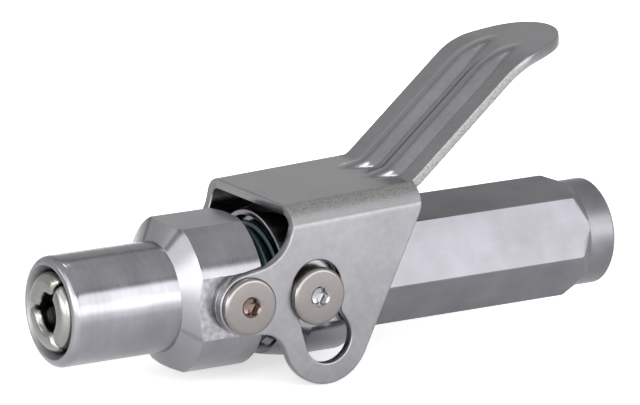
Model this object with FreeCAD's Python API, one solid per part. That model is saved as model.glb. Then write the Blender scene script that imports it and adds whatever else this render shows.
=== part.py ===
import FreeCAD, Part
import math
import os

# Locking grease coupler with its hose adapter, in millimetres.
# X runs along the bore from the mouth to the hose, with 0 at the inlet face.
# Z points to the lever, and Y across the two ears of the lever.

# Fits and clearances
running_fit = 0.1
side_play = 0.05
face_gap = 0.05
seat_gap = 0.01
step_gap = 0.2

# Hose adapter, a hexagonal bar with a turned collar
collar_length = 4.52
collar_radius = 7.88
collar_chamfer = 0.54
hex_length = 37.48
hex_across_flats = 15.8
hex_turn = 9.86
hex_end_cone = 2.14
inlet_bore_radius = 4.283
inlet_depth = 10.0
feed_radius = 2.0
spigot_length = 7.5
spigot_radius = 6.9

# Check valve inside the adapter
chamber_radius = 3.4
chamber_length = 15.5
seat_length = 3.0
seat_bore_radius = 1.6
ball_radius = 2.5
check_wire_radius = 0.3
check_coil_radius = 1.95
check_turns = 6
washer_seal_thickness = 1.0
washer_seal_inner_radius = 3.2
washer_seal_outer_radius = 6.3

# Body, turned in one piece with its barrel and stem
head_length = 16.3
head_radius = 11.43
head_front_radius = 10.45
head_taper_length = 4.3
head_cylinder_length = 7.5
head_rear_cone_length = 3.0
head_rear_radius = 10.2
half_across_flats = 10.49
spring_pocket_depth = 1.3
spring_pocket_radius = 9.7
barrel_length = 17.5
barrel_radius = 6.6
stem_length = 10.2
stem_radius = 4.0
stem_edge = 0.3
stem_lip_length = 0.6
stem_lip_radius = 2.6
stem_bore_length = 19.0
stem_bore_radius = 3.0
root_groove_start = 1.0
root_groove_length = 2.0
root_groove_radius = 3.4
passage_radius = 1.6

# Sliding sleeve round the jaws
sleeve_gap = 2.5
sleeve_length = 30.2
nose_length = 17.0
nose_radius = 8.0
mouth_rounding = 1.17
mouth_front_radius = 6.8
mouth_radius = 6.13
mouth_cone_depth = 1.1
mouth_land = 2.4
lock_taper_length = 3.0
lock_bore_radius = 5.76
lock_bore_length = 2.0
shoulder_length = 2.05
flange_chamfer = 1.5
sleeve_spring_pocket_depth = 2.3
sleeve_spring_pocket_radius = 9.3

# Return spring between the sleeve and the body
return_wire_radius = 0.75
return_coil_radius = 8.25
return_turns = 2.5

# Three jaws that close round the head of the grease nipple
jaw_count = 3
jaw_first_angle = -30.0
jaw_slit = 0.35
jaw_length = 15.65
jaw_lip_radius = 2.85
jaw_lip_rounding = 0.45
jaw_lip_length = 1.7
jaw_cavity_start = 2.85
jaw_cavity_end = 5.35
jaw_cavity_radius = 3.7
jaw_inner_radius = 4.3
jaw_outer_radius = 5.2
jaw_crown_rounding = 1.4
jaw_head_radius = 5.8
jaw_head_end = 3.05
jaw_head_taper = 1.0
hook_clearance = 0.15
jaw_ring_station = 9.35
jaw_ring_wire_radius = 0.6
jaw_ring_groove_depth = 0.4

# Sealing cup, its pusher and its spring inside the stem
cup_front = 1.6
cup_radius = 2.45
cup_flange_radius = 2.9
cup_flange_length = 0.95
cup_bore_radius = 0.9
cup_mouth_radius = 1.7
cup_edge = 0.25
pusher_radius = 2.93
pusher_head_length = 3.0
pusher_tail_length = 2.4
pusher_tail_radius = 2.0
pusher_bore_radius = 1.1
seal_wire_radius = 0.3
seal_coil_radius = 2.5
seal_turns = 9

# Lever bent from sheet, with two ears, a plate and a handle
sheet = 1.5
bend_radius = 1.5
plate_station = 8.8
plate_height = 13.06
plate_slope = 2.2
plate_front = 7.55
plate_rear = 28.94
blank_top = 16.0
handle_slope = 40.4
handle_bend_station = 29.12
handle_bend_radius = 3.0
tip_bend_station = 47.38
tip_bend_radius = 13.0
tip_slope = 12.9
tip_length = 11.58
tip_radius = 8.45
tip_side_length = 5.0
handle_half_width = 9.45
rib_half_spacing = 3.3
rib_tool_radius = 4.88
rib_height = 0.75
rib_root_station = 25.4
rib_root_slope = 14.0
rib_root_bend = 8.0
rib_root_run = 4.6
rib_tip_station = 49.1
rib_tip_slope = 1.0
rib_tip_bend = 9.0
rib_tip_run = 6.0

# Outline of the ears and their slots: arcs by radius, behind and above or below the pivot
front_curve_radius = 6.3
front_curve_height = 11.15
pivot_lobe_radius = 4.45
throat_station = 2.4
throat_drop = 8.6
throat_radius = 3.9
lower_lobe_station = 13.2
lower_lobe_drop = 6.5
lower_lobe_radius = 6.9
rear_lobe_height = 11.3
rear_lobe_radius = 4.0
slot_rest_station = 11.35
slot_rest_height = 1.1
slot_rest_radius = 4.0
slot_open_station = 13.3
slot_open_drop = 6.55
slot_open_radius = 3.78
slot_kink_station = 16.05
slot_kink_drop = 2.7
slot_kink_radius = 0.6

# Screws, bushes and washers of the two cross axes
pin_height = 0.25
pivot_inset = 5.0
guide_inset = 3.97
screw_radius = 1.95
screw_edge = 0.4
socket_across_flats = 2.5
socket_depth = 1.5
pivot_head_radius = 4.2
pivot_head_length = 1.1
pivot_shoulder_radius = 2.6
pivot_hole_depth = 3.2
guide_head_radius = 4.05
guide_head_length = 1.1
guide_bush_radius = 2.7
guide_hole_depth = 5.0
washer_thickness = 0.35
pivot_washer_radius = 4.4
guide_washer_radius = 5.1

# Stations along X, worked out from the inlet face towards the mouth
hex_rear = -collar_length
body_rear = hex_rear - hex_length
body_front = body_rear - head_length
pocket_floor = body_front + spring_pocket_depth
barrel_front = body_front - barrel_length
stem_front = barrel_front - stem_length
stem_bore_end = stem_front + stem_bore_length
sleeve_rear = body_front - sleeve_gap
sleeve_front = sleeve_rear - sleeve_length
sleeve_pocket_floor = sleeve_rear - sleeve_spring_pocket_depth
pivot_x = sleeve_rear - pivot_inset
guide_x = body_front + guide_inset
spigot_front = body_rear - spigot_length
counterbore_front = spigot_front - washer_seal_thickness
chamber_end = spigot_front + chamber_length
jaw_rear = barrel_front - step_gap
jaw_front = jaw_rear - jaw_length
cup_tip = stem_front - cup_front
cup_flange_front = stem_front + stem_lip_length + face_gap
cup_rear = cup_flange_front + cup_flange_length
pusher_front = cup_rear + face_gap
pusher_step = pusher_front + pusher_head_length
ball_drop = math.sqrt(ball_radius ** 2 - seat_bore_radius ** 2) + face_gap
ball_x = chamber_end - seat_length - ball_drop
ear_inner_half_width = half_across_flats + seat_gap + washer_thickness + face_gap
ear_outer_half_width = ear_inner_half_width + sheet
bush_end = ear_outer_half_width + side_play
jaw_groove_radius = jaw_outer_radius - jaw_ring_groove_depth
long_reach = hex_length + sleeve_length


def point(x, y, z):
    return FreeCAD.Vector(x, y, z)


def in_side_view(a, b):
    return point(a, 0, b)


def in_plan_view(a, b):
    return point(a, b, 0)


def rounded_wire(corners, place):
    # Closed outline through corners given as a, b and rounding radius.
    edges = []
    marks = []
    count = len(corners)
    for index, corner in enumerate(corners):
        here = point(corner[0], corner[1], 0)
        before = corners[index - 1]
        after = corners[(index + 1) % count]
        back = point(before[0], before[1], 0).sub(here).normalize()
        ahead = point(after[0], after[1], 0).sub(here).normalize()
        radius = corner[2] if len(corner) > 2 else 0.0
        if radius == 0.0:
            marks.append((here, None, here))
            continue
        half_angle = back.getAngle(ahead) / 2
        reach = radius / math.tan(half_angle)
        inward = back.add(ahead).normalize()
        middle = here.add(inward * (radius / math.sin(half_angle) - radius))
        marks.append((here.add(back * reach), middle, here.add(ahead * reach)))
    for index, mark in enumerate(marks):
        start, middle, end = [None if spot is None else place(spot.x, spot.y) for spot in mark]
        if middle is not None:
            edges.append(Part.Arc(start, middle, end).toShape())
        following = marks[(index + 1) % count][0]
        target = place(following.x, following.y)
        if end.distanceToPoint(target) > 1e-6:
            edges.append(Part.LineSegment(end, target).toShape())
    return Part.Wire(edges)


def turned(corners):
    # Solid of revolution about the bore axis from an outline of x, radius and rounding.
    face = Part.Face(rounded_wire(corners, in_side_view))
    return face.revolve(point(0, 0, 0), point(1, 0, 0), 360)


def rod(x_start, x_end, radius):
    return Part.makeCylinder(radius, x_end - x_start, point(x_start, 0, 0), point(1, 0, 0))


def pin(x, z, y_start, y_end, radius):
    # Cylinder across the coupler, from y_start to y_end.
    return Part.makeCylinder(radius, y_end - y_start, point(x, y_start, z), point(0, 1, 0))


def hexagon(across_flats):
    corner_radius = across_flats / math.sqrt(3)
    angles = [math.radians(60 * number) for number in range(7)]
    return [(corner_radius * math.cos(angle), corner_radius * math.sin(angle)) for angle in angles]


def both_sides(shape):
    # A piece on the +Y side and its mirror image on the -Y side.
    return Part.makeCompound([shape, shape.mirror(point(0, 0, 0), point(0, 1, 0))])


def square_bar():
    # Square bar that leaves four flats on what is turned larger.
    width = 2 * half_across_flats
    corner = point(-2 * long_reach, -half_across_flats, -half_across_flats)
    return Part.makeBox(2 * long_reach, width, width, corner)


def coil(x_start, x_end, wire_radius, coil_radius, turns):
    # Helical wire whose outside just reaches from x_start to x_end.
    height = x_end - x_start - 2 * wire_radius
    helix = Part.makeHelix(height / turns, height, coil_radius)
    section = Part.makeCircle(wire_radius, point(coil_radius, 0, 0), point(0, 1, 0))
    wire = Part.Wire(helix).makePipeShell([Part.Wire(section)], True, True)
    wire.rotate(point(0, 0, 0), point(0, 1, 0), 90)
    wire.translate(point(x_start + wire_radius, 0, 0))
    return wire


def make_body():
    groove_end = barrel_front - root_groove_start
    groove_start = groove_end - root_groove_length
    taper_end = body_front + head_taper_length
    cylinder_end = taper_end + head_cylinder_length
    cone_end = cylinder_end + head_rear_cone_length
    counterbore_radius = spigot_radius + running_fit
    lip_end = stem_front + stem_lip_length
    outline = [
        (stem_front, stem_lip_radius),
        (stem_front, stem_radius - stem_edge),
        (stem_front + stem_edge, stem_radius),
        (groove_start, stem_radius),
        (groove_start, root_groove_radius),
        (groove_end, root_groove_radius),
        (groove_end, stem_radius),
        (barrel_front, stem_radius),
        (barrel_front, barrel_radius),
        (pocket_floor, barrel_radius),
        (pocket_floor, spring_pocket_radius),
        (body_front, spring_pocket_radius),
        (body_front, head_front_radius),
        (taper_end, head_radius),
        (cylinder_end, head_radius),
        (cone_end, head_rear_radius),
        (body_rear, head_rear_radius),
        (body_rear, counterbore_radius),
        (counterbore_front, counterbore_radius),
        (counterbore_front, passage_radius),
        (stem_bore_end, passage_radius),
        (stem_bore_end, stem_bore_radius),
        (lip_end, stem_bore_radius),
        (lip_end, stem_lip_radius),
    ]
    body = turned(outline).common(square_bar())
    hole_radius = screw_radius + running_fit
    hole_start = half_across_flats - guide_hole_depth
    hole = pin(guide_x, pin_height, hole_start, head_radius, hole_radius)
    return body.cut(both_sides(hole))


def make_adapter():
    corner_radius = hex_across_flats / math.sqrt(3)
    hex_corners = [point(body_rear, y, z) for y, z in hexagon(hex_across_flats)]
    bar = Part.Face(Part.makePolygon(hex_corners)).extrude(point(hex_length, 0, 0))
    bar.rotate(point(0, 0, 0), point(1, 0, 0), hex_turn)
    envelope = turned([
        (body_rear, 0),
        (body_rear, corner_radius),
        (hex_rear - hex_end_cone, corner_radius),
        (hex_rear, collar_radius),
        (hex_rear, 0),
    ])
    collar = turned([
        (hex_rear, 0),
        (hex_rear, collar_radius),
        (-collar_chamfer, collar_radius),
        (0, collar_radius - collar_chamfer),
        (0, 0),
    ])
    spigot = rod(spigot_front, body_rear, spigot_radius)
    bores = turned([
        (spigot_front, 0),
        (spigot_front, chamber_radius),
        (chamber_end, chamber_radius),
        (chamber_end, feed_radius),
        (-inlet_depth, feed_radius),
        (-inlet_depth, inlet_bore_radius),
        (0, inlet_bore_radius),
        (0, 0),
    ])
    return bar.common(envelope).fuse([collar, spigot]).removeSplitter().cut(bores)


def make_adapter_seal():
    start = counterbore_front + seat_gap
    end = spigot_front - seat_gap
    return rod(start, end, washer_seal_outer_radius).cut(rod(start, end, washer_seal_inner_radius))


def make_check_seat():
    start = chamber_end - seat_length
    ring = rod(start, chamber_end - seat_gap, chamber_radius - seat_gap)
    return ring.cut(rod(start, chamber_end, seat_bore_radius))


def make_check_ball():
    return Part.makeSphere(ball_radius, point(ball_x, 0, 0))


def make_check_spring():
    # The coil rests on the ball where the two surfaces meet.
    reach = math.sqrt((ball_radius + check_wire_radius) ** 2 - check_coil_radius ** 2)
    end = ball_x - reach + check_wire_radius - face_gap
    start = counterbore_front + face_gap
    return coil(start, end, check_wire_radius, check_coil_radius, check_turns)


def make_nozzle_seal():
    return turned([
        (cup_tip, cup_mouth_radius),
        (cup_tip, cup_radius - cup_edge),
        (cup_tip + cup_edge, cup_radius),
        (cup_flange_front, cup_radius),
        (cup_flange_front, cup_flange_radius),
        (cup_rear, cup_flange_radius),
        (cup_rear, cup_bore_radius),
        (cup_tip + cup_mouth_radius - cup_bore_radius, cup_bore_radius),
    ])


def make_seal_pusher():
    tail_end = pusher_step + pusher_tail_length
    return turned([
        (pusher_front, pusher_bore_radius),
        (pusher_front, pusher_radius),
        (pusher_step, pusher_radius),
        (pusher_step, pusher_tail_radius),
        (tail_end, pusher_tail_radius),
        (tail_end, pusher_bore_radius),
    ])


def make_seal_spring():
    start = pusher_step + face_gap
    end = stem_bore_end - face_gap
    return coil(start, end, seal_wire_radius, seal_coil_radius, seal_turns)


def make_jaw(number):
    # A sector of a turned collet, hooked into the root groove of the stem.
    groove_end = barrel_front - root_groove_start
    hook_end = groove_end - hook_clearance
    hook_start = groove_end - root_groove_length + hook_clearance
    hook_radius = root_groove_radius + hook_clearance
    ring_groove_start = jaw_front + jaw_ring_station - jaw_ring_wire_radius - running_fit
    ring_groove_end = jaw_front + jaw_ring_station + jaw_ring_wire_radius + running_fit
    ring = turned([
        (jaw_front, jaw_lip_radius, jaw_lip_rounding),
        (jaw_front, jaw_head_radius, jaw_crown_rounding),
        (jaw_front + jaw_head_end, jaw_head_radius),
        (jaw_front + jaw_head_end + jaw_head_taper, jaw_outer_radius),
        (ring_groove_start, jaw_outer_radius),
        (ring_groove_start, jaw_groove_radius),
        (ring_groove_end, jaw_groove_radius),
        (ring_groove_end, jaw_outer_radius),
        (jaw_rear, jaw_outer_radius),
        (jaw_rear, jaw_inner_radius),
        (hook_end, jaw_inner_radius),
        (hook_end, hook_radius),
        (hook_start, hook_radius),
        (hook_start, jaw_inner_radius),
        (jaw_front + jaw_cavity_end, jaw_inner_radius),
        (jaw_front + jaw_cavity_end, jaw_cavity_radius),
        (jaw_front + jaw_cavity_start, jaw_cavity_radius),
        (jaw_front + jaw_lip_length, jaw_lip_radius),
    ])
    half_sector = math.radians(180 / jaw_count)
    apex = jaw_slit / 2 / math.sin(half_sector)
    reach = 2 * nose_radius
    side = reach * math.cos(half_sector) + apex
    spread = reach * math.sin(half_sector)
    corners = [(0, apex), (spread, side), (-spread, side), (0, apex)]
    start = jaw_front - 1
    wedge_outline = Part.makePolygon([point(start, y, z) for y, z in corners])
    wedge = Part.Face(wedge_outline).extrude(point(jaw_length + 2, 0, 0))
    angle = jaw_first_angle + number * 360 / jaw_count
    wedge.rotate(point(0, 0, 0), point(1, 0, 0), angle)
    return ring.common(wedge)


def make_jaw_ring():
    # Elastic ring that holds the three jaws on the stem.
    ring_radius = jaw_groove_radius + jaw_ring_wire_radius + face_gap
    station = point(jaw_front + jaw_ring_station, 0, 0)
    return Part.makeTorus(ring_radius, jaw_ring_wire_radius, station, point(1, 0, 0))


def make_sleeve():
    shoulder_start = sleeve_front + nose_length
    shoulder_end = shoulder_start + shoulder_length
    lock_start = sleeve_front + mouth_land + lock_taper_length
    lock_end = lock_start + lock_bore_length
    bore_radius = barrel_radius + running_fit
    relief = (bore_radius - lock_bore_radius) / 2
    outline = [
        (sleeve_front, mouth_front_radius),
        (sleeve_front, nose_radius, mouth_rounding),
        (shoulder_start, nose_radius),
        (shoulder_end, head_radius),
        (sleeve_rear - flange_chamfer, head_radius),
        (sleeve_rear, head_radius - flange_chamfer),
        (sleeve_rear, sleeve_spring_pocket_radius),
        (sleeve_pocket_floor, sleeve_spring_pocket_radius),
        (sleeve_pocket_floor, bore_radius),
        (lock_end + relief, bore_radius),
        (lock_end, lock_bore_radius),
        (lock_start, lock_bore_radius),
        (sleeve_front + mouth_land, mouth_radius),
        (sleeve_front + mouth_cone_depth, mouth_radius),
    ]
    sleeve = turned(outline).common(square_bar())
    hole_radius = screw_radius + side_play
    hole_start = half_across_flats - pivot_hole_depth
    hole = pin(pivot_x, pin_height, hole_start, head_radius, hole_radius)
    return sleeve.cut(both_sides(hole))


def make_return_spring():
    start = sleeve_pocket_floor + face_gap
    end = pocket_floor - face_gap
    return coil(start, end, return_wire_radius, return_coil_radius, return_turns)


def belt_face(circles):
    # Outline of a belt laid round circles, anticlockwise; side 1 goes round one and -1 dips into it.
    count = len(circles)
    normals = []
    for index, (u, w, radius, side) in enumerate(circles):
        next_u, next_w, next_radius, next_side = circles[(index + 1) % count]
        distance = math.hypot(next_u - u, next_w - w)
        heading = math.atan2(next_w - w, next_u - u)
        normals.append(heading + math.acos((next_side * next_radius - side * radius) / distance))
    edges = []
    ends = []
    starts = []
    for index, (u, w, radius, side) in enumerate(circles):
        arrive = normals[index - 1]
        leave = normals[index]
        sweep = (leave - arrive) % (2 * math.pi) if side > 0 else -((arrive - leave) % (2 * math.pi))
        angles = [arrive, arrive + sweep / 2, leave]
        spots = [lever_point(u - side * radius * math.cos(angle), w - side * radius * math.sin(angle))
                 for angle in angles]
        starts.append(spots[0])
        ends.append(spots[2])
        if radius > 0:
            edges.append(Part.Arc(*spots).toShape())
        else:
            edges.append(None)
    loop = []
    for index in range(count):
        if edges[index] is not None:
            loop.append(edges[index])
        loop.append(Part.LineSegment(ends[index], starts[(index + 1) % count]).toShape())
    return Part.Face(Part.Wire(loop))


def lever_point(u, w):
    # Point in the middle plane, u behind and w above the pivot.
    return point(pivot_x + u, 0, pin_height + w)


def plate_top(u):
    return plate_height + (u - plate_station) * math.tan(math.radians(plate_slope))


def handle_top(u):
    bend_height = plate_top(handle_bend_station)
    return bend_height + (u - handle_bend_station) * math.tan(math.radians(handle_slope))


def across(face, half_width):
    # Solid that a face in the middle plane fills from one side to the other.
    face.translate(point(0, -half_width, 0))
    return face.extrude(point(0, 2 * half_width, 0))


def shifted(corners, below):
    # The open line of corners moved down, square to itself, by the distance below.
    headings = []
    for start, end in zip(corners[:-1], corners[1:]):
        headings.append(math.atan2(end[1] - start[1], end[0] - start[0]))
    moved = []
    for index, (u, w, radius) in enumerate(corners):
        arrive = headings[max(index - 1, 0)]
        leave = headings[min(index, len(headings) - 1)]
        middle = (arrive + leave) / 2
        step = below / math.cos((leave - arrive) / 2)
        growth = below if leave > arrive else -below
        new_radius = radius + growth if radius else 0.0
        moved.append((u + step * math.sin(middle), w - step * math.cos(middle), new_radius))
    return moved


def sheet_line():
    # Upper face of the plate and handle, as corners with their bend radii.
    slope = math.radians(tip_slope)
    tip_end = 2 * tip_length
    tip_bend = (tip_bend_station, handle_top(tip_bend_station), tip_bend_radius)
    return [
        (plate_station + 6, plate_top(plate_station + 6), 0.0),
        (handle_bend_station, plate_top(handle_bend_station), handle_bend_radius),
        tip_bend,
        (tip_bend[0] + tip_end * math.cos(slope), tip_bend[1] + tip_end * math.sin(slope), 0.0),
    ]


def sheet_band(above, below, half_width):
    # Band of sheet that follows the upper face, from above it to below it.
    upper = shifted(sheet_line(), -above)
    lower = shifted(sheet_line(), below)
    face = Part.Face(rounded_wire(upper + lower[::-1], lever_point))
    return across(face, half_width)


def handle_outline():
    # Prism square to the sheet at the tip: straight sides, a long arc inwards and the round tip.
    wide = handle_half_width
    centre = tip_length - tip_radius
    start = centre - tip_side_length
    side_radius = (tip_side_length ** 2 + wide ** 2 - tip_radius ** 2) / (2 * (wide - tip_radius))
    angle = math.atan2(side_radius - wide, tip_side_length)
    middle = (angle + math.pi / 2) / 2
    side_spots = [
        (start, wide),
        (start + side_radius * math.cos(middle), wide - side_radius * (1 - math.sin(middle))),
        (centre + tip_radius * math.cos(angle), tip_radius * math.sin(angle)),
    ]
    far = [point(a, b, 0) for a, b in side_spots]
    near = [point(a, -b, 0) for a, b in side_spots]
    far_root = point(start - long_reach, wide, 0)
    near_root = point(start - long_reach, -wide, 0)
    edges = [
        Part.LineSegment(far_root, far[0]).toShape(),
        Part.Arc(*far).toShape(),
        Part.Arc(far[2], point(tip_length, 0, 0), near[2]).toShape(),
        Part.Arc(*near[::-1]).toShape(),
        Part.LineSegment(near[0], near_root).toShape(),
        Part.LineSegment(near_root, far_root).toShape(),
    ]
    prism = Part.Face(Part.Wire(edges)).extrude(point(0, 0, 2 * long_reach))
    prism.translate(point(0, 0, -long_reach))
    prism.rotate(point(0, 0, 0), point(0, 1, 0), -tip_slope)
    bend = sheet_line()[2]
    prism.translate(lever_point(bend[0], bend[1]))
    return prism


def rib_line():
    # Path of the rib tool's centre: it rises through the plate, follows the handle and dives again.
    depth = rib_tool_radius - rib_height
    angle = math.radians(handle_slope)
    drop = depth / math.cos(angle)
    root_angle = math.radians(rib_root_slope)
    root = (rib_root_station, plate_top(rib_root_station) - rib_tool_radius)
    gap = handle_top(root[0]) - drop - root[1]
    run = gap / (math.tan(root_angle) - math.tan(angle))
    root_bend = (root[0] + run, root[1] + run * math.tan(root_angle), rib_root_bend)
    tip_bend = (rib_tip_station, handle_top(rib_tip_station) - drop, rib_tip_bend)
    tip_angle = math.radians(rib_tip_slope)
    start = (root[0] - rib_root_run, root[1] - rib_root_run * math.tan(root_angle), 0.0)
    end = (tip_bend[0] + rib_tip_run, tip_bend[1] + rib_tip_run * math.tan(tip_angle), 0.0)
    return [start, root_bend, tip_bend, end]


def rib_sweep(radius, side):
    # Round bar along the rib line, at one side of the middle plane.
    line = rib_line()
    spots = [lever_point(u, w) for u, w, bend in line]
    edges = []
    start = spots[0]
    for index in (1, 2):
        bend = line[index][2]
        back = spots[index - 1].sub(spots[index]).normalize()
        ahead = spots[index + 1].sub(spots[index]).normalize()
        half_angle = back.getAngle(ahead) / 2
        reach = bend / math.tan(half_angle)
        inward = back.add(ahead).normalize()
        middle = spots[index].add(inward * (bend / math.sin(half_angle) - bend))
        arc_start = spots[index].add(back * reach)
        arc_end = spots[index].add(ahead * reach)
        edges.append(Part.LineSegment(start, arc_start).toShape())
        edges.append(Part.Arc(arc_start, middle, arc_end).toShape())
        start = arc_end
    edges.append(Part.LineSegment(start, spots[3]).toShape())
    path = Part.Wire(edges)
    circle = Part.makeCircle(radius, spots[0], spots[1].sub(spots[0]))
    bar = path.makePipeShell([Part.Wire(circle)], True, False)
    bar.translate(point(0, side * rib_half_spacing, 0))
    return bar


def make_channel():
    # Plate and two ears as one bent channel, wider than the ears' outline on every side.
    outer = ear_outer_half_width
    inner = ear_inner_half_width
    top = plate_top(0)
    underside = top - sheet / math.cos(math.radians(plate_slope))
    foot = -blank_top
    outer_bend = bend_radius + sheet
    corners = [
        (-outer, foot),
        (-outer, top, outer_bend),
        (outer, top, outer_bend),
        (outer, foot),
        (inner, foot),
        (inner, underside, bend_radius),
        (-inner, underside, bend_radius),
        (-inner, foot),
    ]
    wire = rounded_wire(corners, lambda y, w: point(pivot_x, y, pin_height + w))
    direction = point(1, 0, math.tan(math.radians(plate_slope)))
    face = Part.Face(wire)
    face.translate(direction * -plate_rear)
    return face.extrude(direction * 3 * plate_rear)


def make_lever():
    outline = belt_face([
        (plate_rear, blank_top, 0.0, 1),
        (plate_front, blank_top, 0.0, 1),
        (plate_front - front_curve_radius, front_curve_height, front_curve_radius, -1),
        (0, 0, pivot_lobe_radius, 1),
        (throat_station, -throat_drop, throat_radius, -1),
        (lower_lobe_station, -lower_lobe_drop, lower_lobe_radius, 1),
        (plate_rear - rear_lobe_radius, rear_lobe_height, rear_lobe_radius, 1),
    ])
    slot = belt_face([
        (slot_rest_station, slot_rest_height, slot_rest_radius, 1),
        (slot_open_station, -slot_open_drop, slot_open_radius, 1),
        (slot_kink_station, -slot_kink_drop, slot_kink_radius, -1),
    ])
    channel = make_channel().common(across(outline, ear_outer_half_width))
    width = handle_half_width
    handle = sheet_band(0, sheet, width).common(handle_outline())
    lever = channel.fuse(handle)
    rib_space = sheet_band(2 * rib_height, sheet, width)
    grooves = []
    for side in (-1, 1):
        lever = lever.fuse(rib_sweep(rib_tool_radius, side).common(rib_space))
        grooves.append(rib_sweep(rib_tool_radius - sheet, side))
    lever = lever.cut(grooves)
    lever = lever.cut(across(slot, ear_outer_half_width + 1))
    reach = ear_outer_half_width + 1
    hole_radius = pivot_shoulder_radius + side_play
    return lever.cut(pin(pivot_x, pin_height, -reach, reach, hole_radius))


def cross_screw(x, shank, head_start, head_length, head_radius):
    # Screw on the +Y side: a rounded head with a hexagonal socket, and its shank from the tip up.
    head_end = head_start + head_length
    head = [
        (head_start, head_radius),
        (head_end, head_radius, screw_edge),
        (head_end, 0),
        (shank[0][0], 0),
    ]
    face = Part.Face(rounded_wire(shank + head, lambda y, radius: point(x + radius, y, pin_height)))
    screw = face.revolve(point(x, 0, pin_height), point(0, 1, 0), 360)
    bottom = head_end - socket_depth
    corners = [point(x + a, bottom, pin_height + b) for a, b in hexagon(socket_across_flats)]
    socket = Part.Face(Part.makePolygon(corners)).extrude(point(0, 2 * socket_depth, 0))
    return both_sides(screw.cut(socket))


def make_pivot_screws():
    head_start = ear_outer_half_width + side_play
    shoulder_start = half_across_flats + seat_gap
    shank = [
        (half_across_flats - pivot_hole_depth + running_fit, screw_radius),
        (shoulder_start, screw_radius),
        (shoulder_start, pivot_shoulder_radius),
        (head_start, pivot_shoulder_radius),
    ]
    return cross_screw(pivot_x, shank, head_start, pivot_head_length, pivot_head_radius)


def make_guide_screws():
    head_start = bush_end + side_play
    shank = [
        (half_across_flats - guide_hole_depth + running_fit, screw_radius),
        (head_start, screw_radius),
    ]
    return cross_screw(guide_x, shank, head_start, guide_head_length, guide_head_radius)


def ring_on_pin(x, y_start, y_end, outer_radius, inner_radius):
    outer = pin(x, pin_height, y_start, y_end, outer_radius)
    return both_sides(outer.cut(pin(x, pin_height, y_start, y_end, inner_radius)))


def make_pivot_washers():
    start = half_across_flats + seat_gap
    hole_radius = pivot_shoulder_radius + side_play
    return ring_on_pin(pivot_x, start, start + washer_thickness, pivot_washer_radius, hole_radius)


def make_guide_bushes():
    start = half_across_flats + seat_gap
    hole_radius = screw_radius + running_fit
    return ring_on_pin(guide_x, start, bush_end, guide_bush_radius, hole_radius)


def make_guide_washers():
    start = half_across_flats + seat_gap
    hole_radius = guide_bush_radius + side_play
    return ring_on_pin(guide_x, start, start + washer_thickness, guide_washer_radius, hole_radius)


def main():
    pieces = {
        "body": make_body(),
        "adapter": make_adapter(),
        "adapter_seal": make_adapter_seal(),
        "check_seat": make_check_seat(),
        "check_ball": make_check_ball(),
        "check_spring": make_check_spring(),
        "nozzle_seal": make_nozzle_seal(),
        "seal_pusher": make_seal_pusher(),
        "seal_spring": make_seal_spring(),
        "jaw_ring": make_jaw_ring(),
        "sleeve": make_sleeve(),
        "return_spring": make_return_spring(),
        "lever": make_lever(),
        "pivot_screws": make_pivot_screws(),
        "pivot_washers": make_pivot_washers(),
        "guide_screws": make_guide_screws(),
        "guide_bushes": make_guide_bushes(),
        "guide_washers": make_guide_washers(),
    }
    for number in range(jaw_count):
        pieces["jaw_" + str(number + 1)] = make_jaw(number)
    os.makedirs("parts", exist_ok=True)
    for name, shape in pieces.items():
        shape.exportStep("parts/" + name + ".step")
        volume = round(shape.Volume, 2)
        print(name, len(shape.Solids), "solids", volume, "mm3", "valid" if shape.isValid() else "INVALID")


main()
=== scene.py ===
import math

import bmesh
import bpy
import numpy as np
from mathutils import Matrix, Vector
from mathutils.geometry import delaunay_2d_cdt


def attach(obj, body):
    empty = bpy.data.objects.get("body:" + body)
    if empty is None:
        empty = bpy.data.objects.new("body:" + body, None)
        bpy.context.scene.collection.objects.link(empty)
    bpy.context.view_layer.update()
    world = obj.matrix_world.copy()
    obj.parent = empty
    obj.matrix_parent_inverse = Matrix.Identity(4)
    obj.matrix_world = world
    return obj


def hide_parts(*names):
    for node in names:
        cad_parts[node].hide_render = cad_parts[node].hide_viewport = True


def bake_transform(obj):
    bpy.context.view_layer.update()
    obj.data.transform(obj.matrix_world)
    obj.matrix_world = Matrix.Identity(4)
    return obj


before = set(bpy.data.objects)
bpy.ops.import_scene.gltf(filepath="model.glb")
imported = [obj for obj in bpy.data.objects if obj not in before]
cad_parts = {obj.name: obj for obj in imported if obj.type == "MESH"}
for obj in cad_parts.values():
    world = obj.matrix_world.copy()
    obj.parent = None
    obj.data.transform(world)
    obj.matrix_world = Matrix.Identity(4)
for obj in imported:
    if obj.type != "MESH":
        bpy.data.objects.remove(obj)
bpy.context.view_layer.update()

# Hose adapter.
# A length of drawn hexagonal bar, nickel plated, turned down to a cone and a round collar at the hose
# end. Its spigot sits in the body and holds the check valve, and its bore has a pipe thread.
MM = 0.001
BAR_APOTHEM = 7.9
BAR_CORNER = 9.06
BAR_TURN = 39.86
BAR_FRONT = -42.0
BAR_CONE_START = -6.56
COLLAR_FRONT = -4.52
COLLAR_RADIUS = 7.88
COLLAR_CHAMFER = 0.54
SPIGOT_FRONT = -49.5
SPIGOT_RADIUS = 6.9
CHAMBER_END = -34.0
CHAMBER_RADIUS = 3.4
FEED_RADIUS = 2.0
PORT_RADIUS = 4.283
PORT_DEPTH = 10.0
DRILL_CONE = 1.3
THREAD_PITCH = 0.907
THREAD_DEPTH = 0.45
THREAD_RUNOUT = 1.5
THREAD_FADE = 0.4
THREAD_STATIONS = 150
FLAT_STEPS = 6
ARC_STEPS = 24
LEAST_FLAT = 0.03
LEAST_ARC = 0.004
LEAST_RADIUS = 1e-6
MERGE = 2e-6
SLIVER = 1e-6
CLOUDS = (170.0, 170.0, 170.0)
DARK_SHARE = 0.86
LIGHT_SHARE = 1.12
MARK_SPREAD = 0.08
MARK_DEPTH = 0.0000015


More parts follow.
